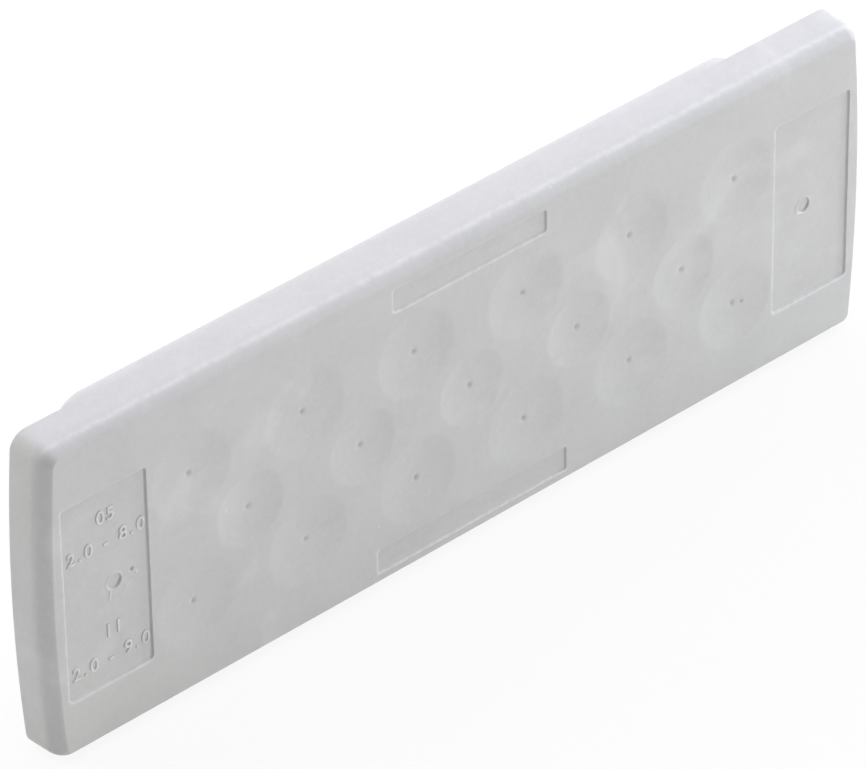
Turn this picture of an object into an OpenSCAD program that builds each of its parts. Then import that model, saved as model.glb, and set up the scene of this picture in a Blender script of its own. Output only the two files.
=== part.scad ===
// Cable entry plate: a one-piece elastomer moulding that snaps into a rectangular panel cut-out.
// X runs along the plate, Z is up and the front face looks towards -Y.
// The origin is the middle of the cut-out, on the plane where the flange meets the panel.

/* [Flange] */
// Length over the bowed ends, at mid-height
plate_l = 147.5; // [140:0.5:170]
// Height
plate_h = 50.5; // [48:0.5:64]
// Thickness in front of the panel
flange_t = 6.6; // [5.4:0.1:9]
// How much further each end reaches at mid-height than at the corners
end_bow = 1.2; // [0.4:0.1:3]
// Radius of the rounded front edge
edge_r = 2.4; // [0.8:0.1:3]
// Draft of the flange sides, in degrees
draft = 3; // [1:0.5:6]

/* [Neck and snap lip] */
// Length of the panel cut-out
cutout_l = 112; // [106:0.5:118]
// Height of the panel cut-out
cutout_h = 36; // [34:0.5:40]
// Room between the neck and each side of the cut-out
neck_clearance = 0.1; // [0:0.05:0.5]
// Corner radius of the neck
neck_corner_r = 2; // [1.8:0.1:4]
// Width of the groove that takes the panel
groove_w = 3; // [2:0.1:4]
// How far the lip stands out from the long sides of the neck
lip_reach = 2.6; // [1.6:0.1:3]
// How far the lip stands out from the ends of the neck
lip_end_reach = 4.8; // [3.6:0.1:6]
// Depth of the ramp behind the groove
lip_ramp = 2.2; // [1.2:0.1:4]
// Depth of the flat top of the lip
lip_land = 1.2; // [1:0.1:3]
// Depth of the tapered lead-in behind the lip
lead_in = 2.6; // [1:0.1:4]
// How far the lead-in draws in below the neck
lead_in_drop = 0.3; // [0.1:0.05:0.5]
// Depth that the chamfer on both edges of the lip takes from each side of the edge
lip_chamfer = 0.4; // [0.1:0.05:0.45]

/* [Cable entries] */
// Entries in the top row and in the bottom row
outer_count = 6; // [4:1:6]
// Bore of the wells in the top and bottom rows
outer_d = 12.6; // [11:0.1:13]
// Bore of the wells in the middle row
middle_d = 10.5; // [8:0.1:11]
// Wall between an end well and the end of the neck
end_wall = 0.85; // [0.8:0.05:3]
// Wall between an outer row and the long side of the neck
side_wall = 1.2; // [0.8:0.05:2]
// Wall of the sleeve around each well
sleeve_wall = 1.8; // [1.6:0.1:2.2]
// Thickness of the membrane at its middle
membrane_t = 1; // [0.6:0.1:2]
// Rim of a dish beyond the well behind it
dish_rim = 0.45; // [0.1:0.05:0.6]
// Depth of a dish
dish_depth = 0.58; // [0.3:0.02:1]
// Diameter of the piercing pit in the middle of a dish
pit_d = 0.8; // [0.4:0.1:1.5]
// Depth of the piercing pit
pit_depth = 0.35; // [0.2:0.05:0.5]

/* [Cored pockets] */
// Wall that the pockets leave at the outside of the neck
collar_wall = 1.6; // [1.3:0.1:2.5]
// Floor that the pockets leave behind the flange
pocket_floor = 1; // [0.5:0.1:2]

/* [Data panels] */
// Gap between the end of the neck and a data panel
data_gap = 0.3; // [0.2:0.1:2]
// Margin between a data panel and the end of the plate
data_margin = 3.45; // [3.2:0.05:6]
// Height of a data panel
data_h = 31; // [20:0.2:38]
// Depth of a data panel
data_depth = 0.45; // [0.2:0.05:0.8]
// Corner radius of a data panel
data_corner_r = 0.5; // [0.2:0.1:2]

/* [Gates] */
// Offset of a gate from the middle of its panel, towards the middle of the plate
gate_shift = 1.3; // [0:0.1:2]
// Diameter of the pad around a gate
gate_pad_d = 6.6; // [4:0.1:8]
// Height of the pad above the panel floor
gate_pad_h = 0.1; // [0.05:0.01:0.15]
// Diameter of the sunk mark that the gate leaves
gate_d = 2.2; // [1.5:0.1:3]
// Depth of the sunk mark below the pad
gate_depth = 0.2; // [0.1:0.05:0.4]
// Width of the raised ring around the mark
gate_ring_w = 0.35; // [0.2:0.05:0.5]
// Height of the ring above the pad
gate_ring_h = 0.08; // [0.05:0.01:0.15]

/* [Strips] */
// Length of the top strip
top_strip_l = 27.2; // [15:0.2:50]
// Height of the top strip
top_strip_h = 3.5; // [2:0.1:4]
// Length of the bottom strip
bottom_strip_l = 34.2; // [15:0.2:50]
// Height of the bottom strip
bottom_strip_h = 3.8; // [2:0.1:4]
// Margin between a strip and the edge of the plate
strip_margin = 2.9; // [2.8:0.1:4]
// Depth of a strip
strip_depth = 0.35; // [0.1:0.05:0.8]
// Corner radius of a strip
strip_corner_r = 0.4; // [0.2:0.1:1]

/* [Hidden] */
$fn = 72;

// Fine steps for curves of large radius
large_fn = 480;
// Steps of a circle in a hull or an offset
hull_fn = 32;
// Overlap of a cut past the face that it opens
cut_over = 1;
// Overlap of two solids that are joined
joint_over = 1;
// Thickness of a slice of the lip
slice_t = 0.01;
// How deep the lip's ramp starts inside the neck, as a share of its reach
lip_root = 0.3;

// Flange outline, measured at its back
edge_axis_y = flange_t - edge_r;
flange_corner_r = edge_r / cos(draft) + edge_axis_y * tan(draft);
end_r = (pow(plate_h / 2, 2) + pow(end_bow, 2)) / (2 * end_bow);
end_axis_x = plate_l / 2 - end_r;
flange_axis_z = plate_h / 2 - flange_corner_r;
end_half_angle = asin(flange_axis_z / (end_r - flange_corner_r));
flange_axis_x = end_axis_x + (end_r - flange_corner_r) * cos(end_half_angle);

// Neck, lip and depth behind the panel face
neck_l = cutout_l - 2 * neck_clearance;
neck_h = cutout_h - 2 * neck_clearance;
ramp_end = groove_w + lip_ramp;
land_end = ramp_end + lip_land;
rear_depth = land_end + lead_in;
ramp_share = 1 - lip_chamfer / lip_ramp;
lead_share = lip_chamfer / lead_in;

// Pattern of the entries: the outer rows fill the neck, and the middle row sits between them
entry_pitch = (neck_l - 2 * end_wall - outer_d) / (outer_count - 1);
row_pitch = (neck_h - 2 * side_wall - outer_d) / 2;
middle_count = outer_count - 1;
well_floor = flange_t - dish_depth - membrane_t;

// Recesses in the front face
data_inner_x = neck_l / 2 + data_gap;
data_l = plate_l / 2 - data_margin - data_inner_x;
data_x = data_inner_x + data_l / 2;
data_floor = flange_t - data_depth;
gate_x = data_x - gate_shift;

// Places its children at each entry, with the bore of that entry in $bore
module each_entry() {
    for (level = [-1, 0, 1]) {
        count = level == 0 ? middle_count : outer_count;
        for (i = [0 : count - 1])
            translate([(i - (count - 1) / 2) * entry_pitch, level * row_pitch, 0])
                let ($bore = level == 0 ? middle_d : outer_d)
                    children();
    }
}

// Copies its children into all four quarters of the plate
module four_quarters() {
    for (side = [0, 1], level = [0, 1])
        mirror([side, 0, 0])
            mirror([0, level, 0])
                children();
}

// Section of the flange edge: x from the corner axis, y up from the panel face to the front face
module flange_section() {
    polygon([
        [0, 0],
        [flange_corner_r, 0],
        [edge_r * cos(draft), edge_axis_y + edge_r * sin(draft)],
        [0, edge_axis_y]
    ]);
    translate([0, edge_axis_y])
        intersection() {
            circle(r = edge_r, $fn = hull_fn);
            square(edge_r);
        }
}

// Flange, face up: its edge section turned at the four corners and along the two bowed ends
module flange() {
    hull() {
        four_quarters()
            translate([flange_axis_x, flange_axis_z, 0])
                rotate_extrude($fn = hull_fn)
                    flange_section();
        for (side = [0, 1])
            mirror([side, 0, 0])
                translate([end_axis_x, 0, 0])
                    rotate(-end_half_angle)
                        rotate_extrude(angle = 2 * end_half_angle, $fn = large_fn)
                            translate([end_r - flange_corner_r, 0])
                                flange_section();
    }
}

// Rectangle with rounded corners, about its middle
module rounded_rectangle(length, height, corner_r) {
    offset(r = corner_r, $fn = hull_fn)
        square([length - 2 * corner_r, height - 2 * corner_r], center = true);
}

// Slice of the lip: the neck's outline grown at its ends and sides, from a depth behind the panel face
module lip_slice(end_growth, side_growth, depth, thickness = slice_t) {
    translate([0, 0, -depth - thickness])
        linear_extrude(thickness)
            rounded_rectangle(
                neck_l + 2 * end_growth,
                neck_h + 2 * side_growth,
                neck_corner_r + side_growth
            );
}

// Snap lip between the groove and the rear: ramp, flat top and tapered lead-in, with both edges chamfered
module lip() {
    hull() {
        lip_slice(-lip_root * lip_end_reach, -lip_root * lip_reach, groove_w - lip_root * lip_ramp);
        lip_slice(ramp_share * lip_end_reach, ramp_share * lip_reach, ramp_end - lip_chamfer);
        lip_slice(lip_end_reach, lip_reach, ramp_end + lip_chamfer, lip_land - 2 * lip_chamfer);
        lip_slice(
            lip_end_reach - lead_share * (lip_end_reach + lead_in_drop),
            lip_reach - lead_share * (lip_reach + lead_in_drop),
            land_end + lip_chamfer
        );
        lip_slice(-lead_in_drop, -lead_in_drop, rear_depth - slice_t);
    }
}

// Neck through the cut-out, which ends inside the lip
module neck() {
    translate([0, 0, -ramp_end])
        linear_extrude(ramp_end + joint_over)
            rounded_rectangle(neck_l, neck_h, neck_corner_r);
}

// Sleeve around one well, as a solid post
module sleeve() {
    translate([0, 0, -rear_depth - 2 * cut_over])
        cylinder(d = $bore + 2 * sleeve_wall, h = rear_depth + 2 * cut_over);
}

// Well behind one membrane, open at the rear
module well() {
    translate([0, 0, -rear_depth - cut_over])
        cylinder(d = $bore, h = rear_depth + cut_over + well_floor);
}

// Dish in front of one membrane, cut by a large sphere
module dish() {
    rim_r = $bore / 2 + dish_rim;
    ball_r = (pow(rim_r, 2) + pow(dish_depth, 2)) / (2 * dish_depth);
    translate([0, 0, flange_t - dish_depth + ball_r])
        sphere(r = ball_r, $fn = large_fn / 2);
}

// Pointed pit in the middle of one dish, where a cable tip starts to pierce
module pit() {
    translate([0, 0, flange_t - dish_depth - pit_depth])
        cylinder(d1 = 0, d2 = 2 * pit_d, h = 2 * pit_depth);
}

// Inside of the neck between the sleeves, cored out from the rear
module pockets() {
    difference() {
        translate([0, 0, -rear_depth - cut_over])
            linear_extrude(rear_depth + cut_over - pocket_floor)
                rounded_rectangle(
                    neck_l - 2 * collar_wall,
                    neck_h - 2 * collar_wall,
                    max(neck_corner_r - collar_wall, 0)
                );
        each_entry()
            sleeve();
    }
}

// Shallow recess in the front face
module recess(length, height, corner_r, depth) {
    translate([0, 0, flange_t - depth])
        linear_extrude(depth + cut_over)
            rounded_rectangle(length, height, corner_r);
}

// Two data panels, one beyond each end of the neck
module data_panels() {
    for (side = [-1, 1])
        translate([side * data_x, 0, 0])
            recess(data_l, data_h, data_corner_r, data_depth);
}

// One strip above the entries and one below them
module strips() {
    translate([0, plate_h / 2 - strip_margin - top_strip_h / 2, 0])
        recess(top_strip_l, top_strip_h, strip_corner_r, strip_depth);
    translate([0, -plate_h / 2 + strip_margin + bottom_strip_h / 2, 0])
        recess(bottom_strip_l, bottom_strip_h, strip_corner_r, strip_depth);
}

// Places its children at each gate, on the floor of its data panel
module each_gate() {
    for (side = [-1, 1])
        translate([side * gate_x, 0, data_floor])
            children();
}

// Pad and raised ring around one gate
module gate_pad() {
    translate([0, 0, -joint_over]) {
        cylinder(d = gate_pad_d, h = joint_over + gate_pad_h);
        cylinder(d = gate_d + 2 * gate_ring_w, h = joint_over + gate_pad_h + gate_ring_h);
    }
}

// Sunk mark where one gate was cut off
module gate_mark() {
    translate([0, 0, gate_pad_h - gate_depth])
        cylinder(d = gate_d, h = gate_depth + cut_over);
}

// Plate with its entries and recesses, before the gates
module plain_plate() {
    difference() {
        union() {
            flange();
            neck();
            lip();
        }
        pockets();
        each_entry() {
            well();
            dish();
            pit();
        }
        data_panels();
        strips();
    }
}

// The whole plate, modelled face up and then stood upright
module entry_plate() {
    color("lightgray")
        rotate([90, 0, 0])
            difference() {
                union() {
                    plain_plate();
                    each_gate()
                        gate_pad();
                }
                each_gate()
                    gate_mark();
            }
}

entry_plate();
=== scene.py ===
"""Looks of the cable entry plate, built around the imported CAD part.

The plate is one elastomer moulding. Its front is rebuilt here as a fine mesh with soft edges, from the sizes
of the CAD source, and its rear is taken over from the CAD node. The flange's edge, the pits, the rings round
the gates and the edges of the snap lip are fitted to the photograph and differ a little from the CAD. Raised
size numbers stand on one panel.
"""

import math

import bmesh
import bpy
import numpy as np
from mathutils import Matrix, Vector


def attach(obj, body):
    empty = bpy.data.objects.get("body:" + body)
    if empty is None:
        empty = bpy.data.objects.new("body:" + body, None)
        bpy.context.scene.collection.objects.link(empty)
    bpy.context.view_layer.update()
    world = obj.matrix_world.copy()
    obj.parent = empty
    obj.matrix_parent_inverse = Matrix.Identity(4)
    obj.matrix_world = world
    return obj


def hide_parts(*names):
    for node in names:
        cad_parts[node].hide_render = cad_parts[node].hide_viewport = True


MM = 0.001

# Name of the mesh layer that says how pale each point is: painted highlights on edges, recess walls and gate
# rings, and paler flash and letter tops
HIGHLIGHT_AND_PALENESS_LAYER = "highlight_and_paleness"

# Flange, in millimetres, as in the CAD source
PLATE_L = 147.5
PLATE_H = 50.5
FLANGE_T = 6.6
END_BOW = 1.2
EDGE_R = 2.4
DRAFT = math.radians(3)

# Section of the flange edge, in millimetres: start behind the front, radius, and radius at the front
EDGE_DEPTH = 2.95
EDGE_ARC_R = 4.13
EDGE_TIP_R = 0.4

# Painted highlight on the long edges, a pale streak in the colour: middle and spread of its place round the
# rounding, and strength
HIGHLIGHT_ANGLE = math.radians(20)
HIGHLIGHT_SPREAD = math.radians(6)
HIGHLIGHT_SHARE = 0.75

# Direction in which the borders of recesses and gates have the least painted highlight
LEAST_HIGHLIGHT_SIDE = math.radians(45)

# Painted highlight on a recess wall: how fast it fades towards that direction, and its strength on the face
# outside
HIGHLIGHT_FADE = 1.2
WALL_HIGHLIGHT = 0.7

# Entries, in millimetres, as in the CAD source
OUTER_COUNT = 6
OUTER_D = 12.6
MIDDLE_D = 10.5
ENTRY_PITCH = 19.5
ROW_PITCH = 10.4
DISH_RIM = 0.45
DISH_DEPTH = 0.58

# Piercing pits, in millimetres: depth, a little more than in the CAD source, and spread
PIT_DEPTH = 0.4
PIT_SPREAD = 0.42

# Recesses in the front face, in millimetres, as in the CAD source
DATA_X = 63.25
DATA_DEPTH = 0.45
DATA_SIZE = (14.1, 31.0, 0.5, DATA_DEPTH)
STRIP_DEPTH = 0.35

# Every recess: x and z of its middle, length, height, corner radius and depth
RECESSES = (
    (-DATA_X, 0, *DATA_SIZE),
    (DATA_X, 0, *DATA_SIZE),
    (0, 20.6, 27.2, 3.5, 0.4, STRIP_DEPTH),
    (0, -20.45, 34.2, 3.8, 0.4, STRIP_DEPTH),
)

# Marks of the moulding gates, in millimetres, as in the CAD source, but with a higher ring
GATE_X = 61.95
GATE_PAD_D = 6.6
GATE_PAD_H = 0.1
GATE_D = 2.2
GATE_DEPTH = 0.2
GATE_RING_W = 0.35
GATE_RING_H = 0.12

# Slit where a gate was torn off, in millimetres: width, depth and the angle of its middle
SLIT_W = 0.08
SLIT_DEPTH = 0.26
SLIT_ANGLE = math.radians(-37)

# Neck, in millimetres, as in the CAD source
NECK_L = 111.8
NECK_H = 35.8
NECK_CORNER_R = 2.0

# Edges of the snap lip made squarer, in millimetres: depth, shift, growth, and more growth at the ends
LIP_EDGES = (
    (4.8, -0.25, 0.47, 0.4),
    (6.8, -0.1, 0.25, 0.2),
)

# How near to its depth a point of such an edge lies, in millimetres
LIP_EDGE_TOL = 0.05

# Softness of moulded edges, in millimetres
DISH_SOFTNESS = 0.06
GATE_PAD_EDGE = 1.0
GATE_WALL_W = 0.25

# How far past its rim a dish is worked out, in millimetres
DISH_REACH = 3.0

# Walls of the recesses, in millimetres: rounding at the top and foot, change of both on the sides turned
# away from the least highlighted direction, and lean
WALL_TOP_R = 0.1
WALL_FOOT_R = 0.22
WALL_BLUNT = 0.09
WALL_LEAN = 0.04

# Mesh of those walls, in millimetres: reach outwards and inwards, spacing, and clearance to the cells
WALL_OUTER = 0.22
WALL_INNER = 0.3
WALL_SPACING = 0.5
WALL_CLEAR = 0.12

# Torn flash and nicks, in millimetres: ridges through points, then bumps of x, z, radius and height
FLASH_PATHS = (
    ((-60.0, -1.6), (-59.4, -1.4), (-58.9, -1.15), (-58.5, -0.75)),
    ((-62.65, -1.5), (-62.78, -2.5)),
)
FLASH_W = 0.15
FLASH_H = 0.16
FLASH_BUMPS = (
    (-58.25, -0.45, 0.22, 0.38),
    (-58.85, 0.3, 0.25, -0.55),
    (60.8, -0.95, 0.2, 0.15),
    (50.6, -10.85, 0.25, -0.3),
)

# Cells of the front face's mesh: count along x and z, halvings, and the finest cells along a whole one
CELLS_X = 100
CELLS_Z = 32
HALVINGS = 5
FINEST = 2**HALVINGS

# Cell widths wanted at details, in millimetres, and their growth with the distance from a detail
WALL_CELL = 0.2
PIT_CELL = 0.12
GATE_CELL = 0.06
RIM_CELL = 0.2
CELL_GROWTH = 1.0

# Distance from the middle, in millimetres, past which the columns of cells bend to the bowed ends
BEND_FROM = 68.0

# Mesh steps in the flange's rounding, front crease, side and corners, and in the turns of a recess wall
ARC_STEPS = 12
TIP_STEPS = 5
SIDE_STEPS = 3
CORNER_STEPS = 12
WALL_TURN_STEPS = 4

# Clean-up of the mesh, in millimetres: points this close are joined, and thinner faces go
WELD = 0.001
SLIVER = 0.001

# Floors of the wells in the CAD mesh: least y of their normal, and least millimetres to the panel plane
WELL_FLOOR_TURN = 0.5
WELL_FLOOR_CLEAR = 0.1

# Angle between faces from which the edge between them stays sharp
SHARP_ANGLE = math.radians(30)

# Raised size numbers on the left panel: words, x and z of their middle, and letter spacing
NUMBERS = (
    ("05", -62.9, 11.0, 1.15),
    ("2.0 - 8.0", -63.0, 6.8, 1.3),
    ("11", -62.4, -7.5, 1.15),
    ("2.0 - 9.0", -62.95, -11.8, 1.3),
)

# Their letters, in millimetres: size, relief, bevel and thinning; then steps of the bevel and how much paler
# their tops are
NUMBER_SIZE = 2.9
NUMBER_RELIEF = 0.22
NUMBER_BEVEL = 0.13
NUMBER_THINNING = 0.07
NUMBER_BEVEL_STEPS = 3
NUMBER_TOP_PALENESS = 0.9

# Linear greys of the elastomer
GREY_LOW = (0.585, 0.585, 0.586, 1)
GREY_HIGH = (0.626, 0.626, 0.627, 1)
GREY_PALE = (0.7, 0.7, 0.702, 1)
GREY_DARK = (0.5, 0.5, 0.5, 1)
# Pale grey of the scuffs, and of the painted highlights and paler flash and letter tops from the mesh layer
GREY_WORN_AND_HIGHLIGHT = (0.75, 0.75, 0.752, 1)

# Noises of the elastomer: features a metre, detail and distortion
CLOUD = (110, 3, 0.4)
MOTTLE = (900, 3, 0)
GRAIN = (5000, 2, 0)
BLOOM = (60, 4, 1.2)

# Scattered specks and scuffs: how many fit in a metre
SPECKS_PER_METRE = 180
SCUFFS_PER_METRE = 120

# Ranges of a noise, or of the distance to a speck or scuff, each with the share of colour at its two ends
CLOUD_SHARE = (0.3, 0.7, 0, 1)
MOTTLE_SHARE = (0.25, 0.75, 0, 0.4)
GRAIN_SHARE = (0.25, 0.75, 0, 0.4)
BLOOM_SHARE = (0.56, 0.72, 0, 0.5)
SPECK_SHARE = (0.02, 0.05, 0.45, 0)
SCUFF_SHARE = (0.02, 0.045, 0.6, 0)
# The last range makes the painted highlights and paleness of the mesh layer patchy
PATCHY_HIGHLIGHT_AND_PALENESS = (0.3, 0.6, 0.35, 1)

# Sheen of the elastomer: range of the mottle noise with the roughness at its ends, and gloss
ROUGHNESS = (0.25, 0.75, 0.5, 0.66)
GLOSS = 0.25

# Reliefs of the noises, in metres
MOTTLE_RELIEF = 0.000008
GRAIN_RELIEF = 0.000006

# Colour sockets of Blender's Mix node, which holds sockets of the same names for other kinds of value
MIX_UNDER = 6
MIX_OVER = 7
MIX_RESULT = 2

# Camera, fitted to the photograph: angles in degrees, lengths in millimetres
CAMERA_AZIMUTH = -41.62
CAMERA_ELEVATION = 36.25
CAMERA_ROLL = -0.83
CAMERA_DISTANCE = 947.76
CAMERA_SLIDE = (-5.2, 0.39)
CAMERA_LENS = 296.04
SENSOR_W = 36.0

# Nearest and farthest that the camera sees, in metres
CLIP_START = 0.01
CLIP_END = 50

# Lamps: name, azimuth and elevation in degrees, distance and size in metres, power in watts, colour
LAMPS = (
    ("top_back", 180, 50, 0.9, 0.8, 4.15, (1.0, 0.94, 1.0)),
    ("back_right", 120, 52, 0.9, 0.6, 2.65, (0.88, 0.88, 1.0)),
    ("above_left", -40, 75, 1.0, 0.3, 2.05, (0.96, 0.97, 1.0)),
    ("right_near", 85, 20, 0.4, 0.3, 0.8, (0.87, 0.93, 1.0)),
    ("left_back", -140, 20, 0.8, 0.5, 3.6, (1.0, 1.0, 0.93)),
    ("front_low", 14, 0, 0.9, 0.6, 6.65, (1.0, 0.98, 0.92)),
    ("right_high", 80, 45, 1.0, 0.25, 1.6, (0.83, 0.89, 1.0)),
)

# World and floor: white where seen, even light, side of the floor in metres, its colour and share of white
WHITE = (1, 1, 1, 1)
AMBIENT = 0.02
FLOOR_SIZE = 6.0
FLOOR_COLOUR = (0.85, 0.85, 0.85, 1)
FLOOR_GLOW = 0.9

# Outline of the flat front face, taken to where the edge rounding of the CAD source starts
EDGE_AXIS = FLANGE_T - EDGE_R
CORNER_R = EDGE_R / math.cos(DRAFT) + EDGE_AXIS * math.tan(DRAFT)
END_R = ((PLATE_H / 2) ** 2 + END_BOW**2) / (2 * END_BOW)
END_AXIS = PLATE_L / 2 - END_R
FLAT_END_R = END_R - CORNER_R
FLAT_Z = PLATE_H / 2 - CORNER_R


def flat_end(z):
    """Half length of the flat front face at height z."""
    return END_AXIS + np.sqrt(FLAT_END_R**2 - np.square(z))


def soft_step(inside, width):
    """0 outside and 1 inside, rising over width about the border."""
    t = np.clip(inside / width + 0.5, 0, 1)
    return t * t * (3 - 2 * t)


def soft_positive(depth, softness):
    """depth where it is positive and 0 elsewhere, with a soft turn within softness of 0."""
    turn = np.square(np.clip(depth + softness, 0, 2 * softness)) / (4 * softness)
    return np.maximum(depth, turn)


def inside_recess(x, z, recess):
    """Distance to the border of a recess, positive inside."""
    centre_x, centre_z, length, height, corner_r = recess[:-1]
    dx = np.abs(x - centre_x) - (length / 2 - corner_r)
    dz = np.abs(z - centre_z) - (height / 2 - corner_r)
    outside = np.hypot(np.maximum(dx, 0), np.maximum(dz, 0))
    return corner_r - outside - np.minimum(np.maximum(dx, dz), 0)


def entries():
    """(x, z, bore) of every cable entry."""
    found = []
    for level in (-1, 0, 1):
        count = OUTER_COUNT if level else OUTER_COUNT - 1
        bore = OUTER_D if level else MIDDLE_D
        for i in range(count):
            found.append(((i - (count - 1) / 2) * ENTRY_PITCH, level * ROW_PITCH, bore))
    return found


def entry_relief(x, z):
    """How deep the dishes and their piercing pits sink the front face."""
    depth = np.zeros_like(x)
    for entry_x, entry_z, bore in entries():
        r = np.hypot(x - entry_x, z - entry_z)
        rim_r = bore / 2 + DISH_RIM
        near = r < rim_r + DISH_REACH
        ball_r = (rim_r**2 + DISH_DEPTH**2) / (2 * DISH_DEPTH)
        cap = np.sqrt(ball_r**2 - np.square(r[near])) - (ball_r - DISH_DEPTH)
        pit = PIT_DEPTH * np.exp(-np.square(r[near] / PIT_SPREAD))
        depth[near] += soft_positive(cap, DISH_SOFTNESS) + pit
    return depth


def gate_ring(x, z, side):
    """1 on the crest of the ring round a moulding gate, falling to 0 beside it."""
    ring_r = (GATE_D + GATE_RING_W) / 2
    return np.exp(-np.square((np.hypot(x - side * GATE_X, z) - ring_r) / (GATE_RING_W / 2)))


def gate_relief(x, z, side):
    """Height of the moulding gate's mark above the floor of its panel."""
    from_middle = x - side * GATE_X
    r = np.hypot(from_middle, z)
    pad = GATE_PAD_H * soft_step(GATE_PAD_D / 2 - r, GATE_PAD_EDGE)
    ring = GATE_RING_H * gate_ring(x, z, side)
    torn = soft_positive(np.cos(np.arctan2(z, from_middle) - SLIT_ANGLE), SLIT_W)
    slit = SLIT_DEPTH * torn * np.exp(-np.square((r - GATE_D / 2) / SLIT_W))
    return pad + ring - slit - GATE_DEPTH * soft_step(GATE_D / 2 - r, GATE_WALL_W)


def flash_distance(x, z):
    """Distance to the nearest ridge of torn flash."""
    nearest = np.full_like(x, np.inf)
    for path in FLASH_PATHS:
        for (ax, az), (bx, bz) in zip(path, path[1:]):
            run_x, run_z = bx - ax, bz - az
            along = np.clip(((x - ax) * run_x + (z - az) * run_z) / (run_x**2 + run_z**2), 0, 1)
            nearest = np.minimum(nearest, np.hypot(x - ax - along * run_x, z - az - along * run_z))
    return nearest


def flash_relief(x, z):
    """Height of the torn flash, which is below 0 in a nick."""
    height = FLASH_H * np.exp(-np.square(flash_distance(x, z) / FLASH_W))
    for bump_x, bump_z, radius, bump_h in FLASH_BUMPS:
        height += bump_h * np.exp(-np.square(np.hypot(x - bump_x, z - bump_z) / radius))
    return height


def front_highlight_and_paleness(x, z):
    """Paler colour on raised torn flash, and painted highlight on the lower left of the gates' rings."""
    highlight_and_paleness = np.clip(flash_relief(x, z) / FLASH_H, 0, 1)
    for side in (-1, 1):
        angle = np.arctan2(z, x - side * GATE_X)
        # Painted highlight on the lower left of each gate's ring
        highlight_and_paleness += gate_ring(x, z, side) * np.maximum(-np.cos(angle - LEAST_HIGHLIGHT_SIDE), 0)
    return np.minimum(highlight_and_paleness, 1)


def front_height(x, z):
    """Height of the front face above the panel plane."""
    height = FLANGE_T - entry_relief(x, z) + flash_relief(x, z)
    for recess in RECESSES:
        height -= recess[-1] * (inside_recess(x, z, recess) > 0)
    return height + gate_relief(x, z, -1) + gate_relief(x, z, 1)


def side_highlight_and_bluntness(angle):
    """Painted highlight and bluntness of a side that faces outwards at an angle: (share of the painted
    highlight kept, bluntness).
    """
    turned = math.cos(angle - LEAST_HIGHLIGHT_SIDE)
    return 1 - min(1, HIGHLIGHT_FADE * max(0, turned)), max(0, -turned)


def wall_section(depth, angle):
    """(outward, drop, painted highlight) points of a recess wall, from the front face to the floor."""
    kept, blunt = side_highlight_and_bluntness(angle)
    top_r = WALL_TOP_R + WALL_BLUNT * blunt
    foot_r = WALL_FOOT_R - WALL_BLUNT * blunt
    half_run = WALL_LEAN / 2
    # Painted highlight on the face outside and down the top rounding of the wall
    points = [(WALL_OUTER, 0, WALL_HIGHLIGHT * kept)]
    turns = np.linspace(0, math.pi / 2, WALL_TURN_STEPS + 1)
    for t in turns:
        highlight_and_paleness = kept * (math.cos(t) + blunt * (1 - math.cos(t)))
        points.append((half_run + top_r * (1 - math.sin(t)), top_r * (1 - math.cos(t)), highlight_and_paleness))
    for t in turns:
        highlight_and_paleness = kept * blunt * (1 - math.sin(t))
        points.append((-half_run - foot_r * (1 - math.cos(t)), depth - foot_r * (1 - math.sin(t)), highlight_and_paleness))
    return points + [(-WALL_INNER, depth, 0)]


def wall_outline(recess):
    """(x, z, outward angle) round a recess, each its corner radius inside the border."""
    centre_x, centre_z, length, height, corner_r = recess[:-1]
    half_x, half_z = length / 2 - corner_r, height / 2 - corner_r
    found = []
    for quarter, (side_x, side_z) in enumerate(((1, 1), (-1, 1), (-1, -1), (1, -1))):
        for turn in np.linspace(0, math.pi / 2, WALL_TURN_STEPS * 2 + 1):
            angle = quarter * math.pi / 2 + turn
            found.append((centre_x + side_x * half_x, centre_z + side_z * half_z, angle))
        start_x, start_z, angle = found[-1]
        side = 2 * (half_z if quarter % 2 else half_x)
        for run in np.linspace(0, side, round(side / WALL_SPACING) + 1)[1:-1]:
            found.append((start_x - run * math.sin(angle), start_z + run * math.cos(angle), angle))
    return found


def wanted_width(x, z, reach):
    """Width of mesh cell wanted by the details within reach of a place."""
    asked = []
    for entry_x, entry_z, bore in entries():
        r = np.hypot(x - entry_x, z - entry_z)
        asked.append((np.abs(r - bore / 2 - DISH_RIM), RIM_CELL))
        asked.append((r - 2 * PIT_SPREAD, PIT_CELL))
    for recess in RECESSES:
        asked.append((np.abs(inside_recess(x, z, recess)) - WALL_INNER, WALL_CELL))
    for side in (-1, 1):
        r = np.hypot(x - side * GATE_X, z)
        asked.append((r - GATE_D / 2 - GATE_RING_W, GATE_CELL))
    asked.append((flash_distance(x, z) - 2 * FLASH_W, GATE_CELL))
    for bump_x, bump_z, radius, _ in FLASH_BUMPS:
        asked.append((np.hypot(x - bump_x, z - bump_z) - 2 * radius, GATE_CELL))
    wanted = np.full_like(x, np.inf)
    for distance, width in asked:
        wanted = np.minimum(wanted, width + CELL_GROWTH * np.maximum(distance - reach, 0))
    return wanted


def lattice_place(i, j):
    """x and z of a point of the finest lattice on the flat face, whose ends are bowed."""
    z = (2 * np.asarray(j, float) / (CELLS_Z * FINEST) - 1) * FLAT_Z
    half = flat_end(0)
    x = (2 * np.asarray(i, float) / (CELLS_X * FINEST) - 1) * half
    bend = np.clip((np.abs(x) - BEND_FROM) / (half - BEND_FROM), 0, 1)
    return x - np.sign(x) * bend * (half - flat_end(z)), z


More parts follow.
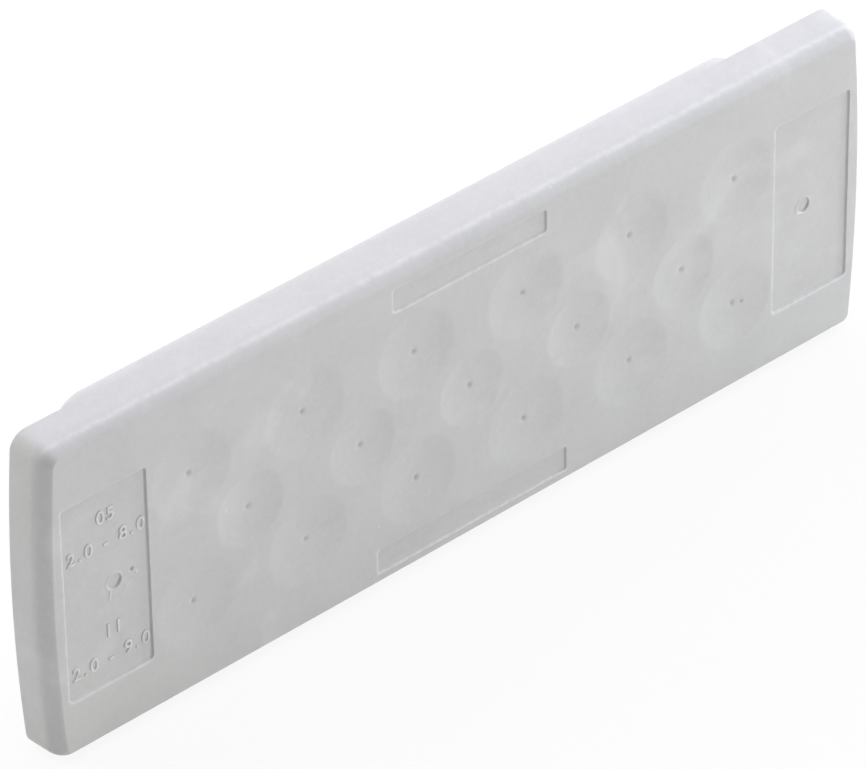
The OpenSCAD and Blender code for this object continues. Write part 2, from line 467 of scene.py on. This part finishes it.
def front_cells():
    """(i, j, span) of the mesh cells on the finest lattice, halved where details ask for it."""
    i, j = np.meshgrid(np.arange(CELLS_X), np.arange(CELLS_Z), indexing="ij")
    i, j = i.ravel() * FINEST, j.ravel() * FINEST
    span = FINEST
    found = []
    while span:
        x, z = lattice_place(i + span / 2, j + span / 2)
        width = span * 2 * FLAT_Z / (CELLS_Z * FINEST)
        split = (wanted_width(x, z, width / 2) < width) & (span > 1)
        found += [(a, b, span) for a, b in zip(i[~split].tolist(), j[~split].tolist())]
        span //= 2
        i, j = i[split], j[split]
        i, j = np.concatenate((i, i + span, i, i + span)), np.concatenate((j, j, j + span, j + span))
    return found


def cell_outline(cell, corners):
    """Lattice points round a cell, with the corners of smaller neighbours on its sides."""
    i, j, span = cell
    steps = range(span)
    outline = [(i + k, j) for k in steps]
    outline += [(i + span, j + k) for k in steps]
    outline += [(i + span - k, j + span) for k in steps]
    outline += [(i, j + span - k) for k in steps]
    return [point for point in outline if point in corners]


def rim_directions(corners):
    """(lattice point, outward angle) round the flat face; at its corners the angle turns in steps."""
    last_i, last_j = CELLS_X * FINEST, CELLS_Z * FINEST
    sides = (
        sorted((c for c in corners if c[0] == last_i), key=lambda c: c[1]),
        sorted((c for c in corners if c[1] == last_j), key=lambda c: -c[0]),
        sorted((c for c in corners if c[0] == 0), key=lambda c: -c[1]),
        sorted((c for c in corners if c[1] == 0), key=lambda c: c[0]),
    )

    def angle(point, side):
        """Outward angle at a point of a side: right, top, left, bottom, and right again."""
        if side % 2:
            return side * math.pi / 2
        tilt = math.asin(lattice_place(*point)[1] / FLAT_END_R)
        return side * math.pi / 2 + (tilt if side != 2 else -tilt)

    found = []
    for side, points in enumerate(sides):
        found += [(point, angle(point, side)) for point in points]
        fan = np.linspace(angle(points[-1], side), angle(points[-1], side + 1), CORNER_STEPS + 1)
        found += [(points[-1], turn) for turn in fan[1:-1]]
    return found


def rim_section():
    """(outward, height, painted highlight) points of the flange edge, from the front face to the panel
    plane.
    """
    foot = FLANGE_T - EDGE_DEPTH
    axis_out = CORNER_R - foot * math.tan(DRAFT) - EDGE_ARC_R * math.cos(DRAFT)
    axis_height = foot - EDGE_ARC_R * math.sin(DRAFT)
    tip_rise = FLANGE_T - EDGE_TIP_R - axis_height
    tip_run = math.sqrt((EDGE_ARC_R - EDGE_TIP_R) ** 2 - tip_rise**2)
    tip_turn = math.atan2(tip_rise, tip_run)
    points = []
    for t in np.linspace(math.pi / 2, tip_turn, TIP_STEPS + 1):
        out = axis_out + tip_run + EDGE_TIP_R * math.cos(t)
        points.append((out, axis_height + tip_rise + EDGE_TIP_R * math.sin(t), 0))
    for t in np.linspace(tip_turn, DRAFT, ARC_STEPS + 1)[1:]:
        # Painted highlight: a pale streak in the colour round the rounding
        highlight_and_paleness = HIGHLIGHT_SHARE * math.exp(-(((t - HIGHLIGHT_ANGLE) / HIGHLIGHT_SPREAD) ** 2))
        points.append((axis_out + EDGE_ARC_R * math.cos(t), axis_height + EDGE_ARC_R * math.sin(t), highlight_and_paleness))
    out, height = points[-1][:2]
    for share in np.linspace(0, 1, SIDE_STEPS + 1)[1:]:
        points.append((out + (CORNER_R - out) * share, height * (1 - share), 0))
    return points


def add_ring(bm, ring, places, highlight_and_paleness):
    """Adds a ring of points at places, with their painted highlight and paleness, and faces to the ring
    before it, and returns it.
    """
    layer = bm.verts.layers.float[HIGHLIGHT_AND_PALENESS_LAYER]
    below = [bm.verts.new(Vector(place) * MM) for place in places]
    for point, share in zip(below, highlight_and_paleness):
        point[layer] = share
    for k in range(len(ring)):
        corners = [ring[k - 1], below[k - 1], below[k], ring[k]]
        if ring[k - 1] is ring[k]:
            corners.pop()
        bm.faces.new(corners)
    return below


def ring_edges(bm, ring):
    """Edges along a closed ring of points."""
    return [bm.edges.get((ring[k - 1], ring[k])) for k in range(len(ring))]


def add_wall(bm, recess, outer_border, inner_border):
    """Adds the wall of a recess and joins it to the borders outside and inside it."""
    corner_r, depth = recess[-2:]
    outline = wall_outline(recess)
    rings = [[]]
    for ring in zip(*(wall_section(depth, angle) for x, z, angle in outline)):
        places = []
        for (x, z, angle), (out, drop, highlight_and_paleness) in zip(outline, ring):
            r = corner_r + out
            places.append((x + r * math.cos(angle), drop - FLANGE_T, z + r * math.sin(angle)))
        rings.append(add_ring(bm, rings[-1], places, [highlight_and_paleness for out, drop, highlight_and_paleness in ring]))
    for ring, border in ((rings[1], outer_border), (rings[-1], inner_border)):
        edges = ring_edges(bm, ring) + border
        bmesh.ops.triangle_fill(bm, edges=edges, use_beauty=True, normal=(0, -1, 0))


def add_face(bm):
    """Adds the flat face's cells that are clear of recess walls, and returns its points and their places."""
    cells = front_cells()
    corners = {(i + a, j + b) for i, j, span in cells for a in (0, span) for b in (0, span)}
    points = sorted(corners)
    x, z = lattice_place(*np.array(points).T)
    zone = np.zeros(len(points), int)
    for number, recess in enumerate(RECESSES, 1):
        inside = inside_recess(x, z, recess)
        zone[inside > 0] = number
        zone[np.abs(inside) < WALL_INNER + WALL_CLEAR] = -1
    zone = dict(zip(points, zone.tolist()))
    outlines = []
    for cell in cells:
        outline = cell_outline(cell, corners)
        zones = {zone[point] for point in outline}
        if len(zones) == 1 and -1 not in zones:
            outlines.append(outline)
    border = rim_directions(corners)
    used = {point for outline in outlines for point in outline} | {point for point, angle in border}
    height = front_height(x, z)
    highlight_and_paleness = front_highlight_and_paleness(x, z)
    layer = bm.verts.layers.float[HIGHLIGHT_AND_PALENESS_LAYER]
    vert = {}
    for k, point in enumerate(points):
        if point in used:
            vert[point] = bm.verts.new((x[k] * MM, -height[k] * MM, z[k] * MM))
            vert[point][layer] = highlight_and_paleness[k]
    for outline in outlines:
        bm.faces.new([vert[point] for point in outline])
    return vert, border


def add_front(bm):
    """Adds the front face and the flange edge to bm, and returns the edges of its back border."""
    vert, directions = add_face(bm)
    ring = [vert[point] for point, angle in directions]
    starts = [lattice_place(*point) for point, angle in directions]
    for out, level, highlight_and_paleness in rim_section():
        places = []
        for (point, angle), (start_x, start_z) in zip(directions, starts):
            places.append((start_x + out * math.cos(angle), -level, start_z + out * math.sin(angle)))
        # The painted highlight is kept on the long edges and fades towards the ends
        ring = add_ring(bm, ring, places, [highlight_and_paleness * math.sin(angle) ** 2 for point, angle in directions])
    made = set(vert.values())
    borders = {}
    for edge in bm.edges:
        if edge.is_boundary and made.issuperset(edge.verts):
            place = edge.verts[0].co / MM
            inside = [inside_recess(place.x, place.z, recess) for recess in RECESSES]
            nearest = int(np.argmin(np.abs(inside)))
            borders.setdefault((nearest, inside[nearest] > 0), []).append(edge)
    for number, recess in enumerate(RECESSES):
        add_wall(bm, recess, borders[number, False], borders[number, True])
    return ring_edges(bm, ring)


def square_lip(bm):
    """Makes the edges of the snap lip squarer, so that its flat top shows behind the flange."""
    for vert in bm.verts:
        x, y, z = vert.co / MM
        out_x, out_z = abs(x) - NECK_L / 2, abs(z) - NECK_H / 2
        for depth, shift, growth, end_growth in LIP_EDGES:
            if abs(y - depth) < LIP_EDGE_TOL and max(out_x, out_z) > growth:
                turn = math.atan2(max(out_z + NECK_CORNER_R, 0), max(out_x, 0))
                x += math.copysign(growth * math.cos(turn) + end_growth * (out_x > 0), x)
                z += math.copysign(growth * math.sin(turn), z)
                vert.co = Vector((x, y + shift, z)) * MM


def mark_sharp(bm):
    """Keeps the edges sharp where faces meet at a large angle, and lets the others look smooth."""
    for edge in bm.edges:
        edge.smooth = len(edge.link_faces) == 2 and edge.calc_face_angle() < SHARP_ANGLE


def add_rear(bm, node):
    """Adds what lies behind the panel plane, and the wells, from the CAD node; returns its front border."""
    bm.from_mesh(node.data)
    bmesh.ops.remove_doubles(bm, verts=bm.verts, dist=WELD * MM)
    square_lip(bm)
    in_front = [
        f
        for f in bm.faces
        if max(v.co.y for v in f.verts) < WELD * MM
        and not (f.normal.y > WELL_FLOOR_TURN and f.calc_center_median().y < -WELL_FLOOR_CLEAR * MM)
    ]
    bmesh.ops.delete(bm, geom=in_front, context="FACES")
    mark_sharp(bm)
    return [e for e in bm.edges if e.is_boundary]


def add_object(name, mesh, material):
    """New object in the scene, with a mesh of one material."""
    mesh.materials.clear()
    mesh.materials.append(material)
    made = bpy.data.objects.new(name, mesh)
    bpy.context.scene.collection.objects.link(made)
    return made


def add_piece(name, bm, material):
    """New object in the scene from bm, with smooth faces of one material."""
    for face in bm.faces:
        face.smooth = True
    mesh = bpy.data.meshes.new(name)
    bm.to_mesh(mesh)
    bm.free()
    return add_object(name, mesh, material)


def make_plate(node, material):
    """The plate as one closed mesh: CAD rear, fine front, and the flat seat between their borders."""
    bm = bmesh.new()
    bm.verts.layers.float.new(HIGHLIGHT_AND_PALENESS_LAYER)
    neck_border = add_rear(bm, node)
    seat_border = add_front(bm)
    for edge in seat_border:
        edge.smooth = False
    bmesh.ops.triangle_fill(bm, edges=neck_border + seat_border, use_beauty=True, normal=(0, 1, 0))
    bmesh.ops.dissolve_degenerate(bm, dist=SLIVER * MM, edges=bm.edges)
    bmesh.ops.recalc_face_normals(bm, faces=bm.faces)
    return add_piece("plate", bm, material)


def make_numbers(material):
    """Raised size numbers on the floor of the left panel, as one mesh."""
    bm = bmesh.new()
    for words, x, z, spacing in NUMBERS:
        curve = bpy.data.curves.new("words", "FONT")
        curve.body = words
        curve.align_x = "CENTER"
        curve.align_y = "CENTER"
        curve.size = NUMBER_SIZE
        curve.space_character = spacing
        curve.offset = -NUMBER_THINNING
        curve.extrude = NUMBER_RELIEF - NUMBER_BEVEL
        curve.bevel_depth = NUMBER_BEVEL
        curve.bevel_resolution = NUMBER_BEVEL_STEPS
        line = bpy.data.objects.new("words", curve)
        bpy.context.scene.collection.objects.link(line)
        shape = bpy.data.meshes.new_from_object(line.evaluated_get(bpy.context.evaluated_depsgraph_get()))
        middle = Matrix.Translation((x, DATA_DEPTH - FLANGE_T, z))
        shape.transform(Matrix.Scale(MM, 4) @ middle @ Matrix.Rotation(math.pi / 2, 4, "X"))
        bm.from_mesh(shape)
        bpy.data.objects.remove(line)
    bmesh.ops.remove_doubles(bm, verts=bm.verts, dist=WELD * MM)
    layer = bm.verts.layers.float.new(HIGHLIGHT_AND_PALENESS_LAYER)
    for vert in bm.verts:
        height = DATA_DEPTH - FLANGE_T - vert.co.y / MM
        # Paler towards the tops of the letters
        vert[layer] = NUMBER_TOP_PALENESS * max(height / NUMBER_RELIEF, 0) ** 2
    mark_sharp(bm)
    return add_piece("size_numbers", bm, material)


def add_node(tree, kind, inputs, **settings):
    """New shader node with its inputs set, or linked where the value is a socket; returns the node."""
    node = tree.nodes.new(kind)
    for name, value in settings.items():
        setattr(node, name, value)
    for key, value in inputs.items():
        if isinstance(value, bpy.types.NodeSocket):
            tree.links.new(value, node.inputs[key])
        else:
            node.inputs[key].default_value = value
    return node


def make_material():
    """Light-grey matt elastomer with cloudy tone, pale bloom, fine grain, specks, scuffs, and painted
    highlights on edges.
    """
    material = bpy.data.materials.new("elastomer")
    material.use_nodes = True
    tree = material.node_tree
    shader = tree.nodes["Principled BSDF"]
    shader.inputs["Specular IOR Level"].default_value = GLOSS
    place = tree.nodes.new("ShaderNodeTexCoord").outputs["Object"]

    def noise(per_metre, detail, distortion=0.0):
        """Noise of about so many features a metre."""
        inputs = {"Vector": place, "Scale": per_metre, "Detail": detail, "Distortion": distortion}
        return add_node(tree, "ShaderNodeTexNoise", inputs).outputs["Fac"]

    def stretched(value, low, high, to_low, to_high):
        """Value from low to high brought to another range, and held there."""
        inputs = {"Value": value, "From Min": low, "From Max": high, "To Min": to_low, "To Max": to_high}
        return add_node(tree, "ShaderNodeMapRange", inputs).outputs["Result"]

    def mixed(share, under, over):
        """Colour over laid on colour under by share."""
        inputs = {"Factor": share, MIX_UNDER: under, MIX_OVER: over}
        return add_node(tree, "ShaderNodeMix", inputs, data_type="RGBA").outputs[MIX_RESULT]

    def spots(per_metre):
        """Distance to the nearest of scattered spots, about so many a metre."""
        inputs = {"Vector": place, "Scale": per_metre}
        return add_node(tree, "ShaderNodeTexVoronoi", inputs).outputs["Distance"]

    mottle = noise(*MOTTLE)
    grain = noise(*GRAIN)
    tone = mixed(stretched(noise(*CLOUD), *CLOUD_SHARE), GREY_LOW, GREY_HIGH)
    tone = mixed(stretched(mottle, *MOTTLE_SHARE), tone, GREY_PALE)
    tone = mixed(stretched(grain, *GRAIN_SHARE), tone, GREY_DARK)
    tone = mixed(stretched(noise(*BLOOM), *BLOOM_SHARE), tone, GREY_PALE)
    tone = mixed(stretched(spots(SPECKS_PER_METRE), *SPECK_SHARE), tone, GREY_DARK)
    tone = mixed(stretched(spots(SCUFFS_PER_METRE), *SCUFF_SHARE), tone, GREY_WORN_AND_HIGHLIGHT)
    # Paleness from the mesh layer, made patchy: painted highlights on edges, walls and rings, and paler
    # flash and letter tops
    highlight_and_paleness_share = add_node(tree, "ShaderNodeAttribute", {}, attribute_name=HIGHLIGHT_AND_PALENESS_LAYER).outputs["Fac"]
    patchy = {0: highlight_and_paleness_share, 1: stretched(mottle, *PATCHY_HIGHLIGHT_AND_PALENESS)}
    highlight_and_paleness_share = add_node(tree, "ShaderNodeMath", patchy, operation="MULTIPLY").outputs[0]
    tree.links.new(mixed(highlight_and_paleness_share, tone, GREY_WORN_AND_HIGHLIGHT), shader.inputs["Base Color"])
    tree.links.new(stretched(mottle, *ROUGHNESS), shader.inputs["Roughness"])
    coarse = add_node(tree, "ShaderNodeBump", {"Strength": 1, "Distance": MOTTLE_RELIEF, "Height": mottle})
    fine = {"Strength": 1, "Distance": GRAIN_RELIEF, "Height": grain, "Normal": coarse.outputs["Normal"]}
    tree.links.new(add_node(tree, "ShaderNodeBump", fine).outputs["Normal"], shader.inputs["Normal"])
    return material


def direction(azimuth, elevation):
    """Unit vector towards a viewer at azimuth and elevation, in degrees."""
    a, e = math.radians(azimuth), math.radians(elevation)
    return Vector((math.sin(a) * math.cos(e), -math.cos(a) * math.cos(e), math.sin(e)))


def make_camera():
    """Camera at the photograph's viewing angle."""
    aim = direction(CAMERA_AZIMUTH, CAMERA_ELEVATION).to_track_quat("Z", "Y").to_matrix()
    turn = aim @ Matrix.Rotation(math.radians(CAMERA_ROLL), 3, "Z")
    data = bpy.data.cameras.new("camera")
    data.sensor_fit = "HORIZONTAL"
    data.sensor_width = SENSOR_W
    data.lens = CAMERA_LENS
    data.clip_start = CLIP_START
    data.clip_end = CLIP_END
    camera = bpy.data.objects.new("camera", data)
    front_middle = Vector((0, -FLANGE_T, 0))
    place = front_middle + turn @ Vector((*CAMERA_SLIDE, CAMERA_DISTANCE))
    camera.matrix_world = Matrix.Translation(place * MM) @ turn.to_4x4()
    bpy.context.scene.collection.objects.link(camera)
    bpy.context.scene.camera = camera


def make_lamps():
    """Soft lamps around the plate, unseen by the camera."""
    for name, azimuth, elevation, distance, size, power, colour in LAMPS:
        data = bpy.data.lights.new(name, "AREA")
        data.size = size
        data.energy = power
        data.color = colour
        lamp = bpy.data.objects.new(name, data)
        towards = direction(azimuth, elevation)
        turn = towards.to_track_quat("Z", "Y").to_matrix().to_4x4()
        lamp.matrix_world = Matrix.Translation(towards * distance) @ turn
        lamp.visible_camera = False
        bpy.context.scene.collection.objects.link(lamp)


def seen_directly(tree, share):
    """Socket that is share for camera, glossy and transmission rays, and 0 for other light."""
    path = tree.nodes.new("ShaderNodeLightPath")
    seen = path.outputs["Is Camera Ray"]
    for kind in ("Is Glossy Ray", "Is Transmission Ray"):
        inputs = {0: seen, 1: path.outputs[kind]}
        seen = add_node(tree, "ShaderNodeMath", inputs, operation="MAXIMUM").outputs[0]
    return add_node(tree, "ShaderNodeMath", {0: seen, 1: share}, operation="MULTIPLY").outputs[0]


def make_world():
    """World that is white where it is seen and gives a little even light."""
    world = bpy.data.worlds.new("studio")
    world.use_nodes = True
    bpy.context.scene.world = world
    tree = world.node_tree
    light = tree.nodes["Background"]
    light.inputs["Color"].default_value = WHITE
    light.inputs["Strength"].default_value = AMBIENT
    white = add_node(tree, "ShaderNodeBackground", {"Color": WHITE})
    shaders = {0: seen_directly(tree, 1), 1: light.outputs[0], 2: white.outputs[0]}
    mix = add_node(tree, "ShaderNodeMixShader", shaders)
    tree.links.new(mix.outputs[0], tree.nodes["World Output"].inputs["Surface"])


def make_floor():
    """Plain pale floor under the plate's lower edge, nearly white where it is seen, with a faint shadow."""
    half = FLOOR_SIZE / 2
    level = -PLATE_H / 2 * MM
    mesh = bpy.data.meshes.new("floor")
    square = [(-half, -half, level), (half, -half, level), (half, half, level), (-half, half, level)]
    mesh.from_pydata(square, [], [(0, 1, 2, 3)])
    material = bpy.data.materials.new("floor")
    material.use_nodes = True
    tree = material.node_tree
    paint = tree.nodes["Principled BSDF"]
    paint.inputs["Base Color"].default_value = FLOOR_COLOUR
    paint.inputs["Roughness"].default_value = 1
    paint.inputs["Specular IOR Level"].default_value = 0
    glow = add_node(tree, "ShaderNodeEmission", {"Color": WHITE})
    shaders = {0: seen_directly(tree, FLOOR_GLOW), 1: paint.outputs[0], 2: glow.outputs[0]}
    mix = add_node(tree, "ShaderNodeMixShader", shaders)
    tree.links.new(mix.outputs[0], tree.nodes["Material Output"].inputs["Surface"])
    add_object("floor", mesh, material)


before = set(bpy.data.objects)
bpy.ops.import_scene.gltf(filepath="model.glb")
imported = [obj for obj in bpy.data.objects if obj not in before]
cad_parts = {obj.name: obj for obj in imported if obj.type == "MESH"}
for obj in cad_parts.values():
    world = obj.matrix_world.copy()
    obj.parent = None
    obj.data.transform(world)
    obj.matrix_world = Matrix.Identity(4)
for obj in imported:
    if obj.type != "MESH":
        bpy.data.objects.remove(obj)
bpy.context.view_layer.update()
bpy.context.scene.view_settings.view_transform = "Standard"
elastomer = make_material()
plate = make_plate(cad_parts["entry_plate"], elastomer)
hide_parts("entry_plate")
for piece in (plate, make_numbers(elastomer)):
    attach(piece, "root")
make_camera()
make_world()
make_lamps()
make_floor()
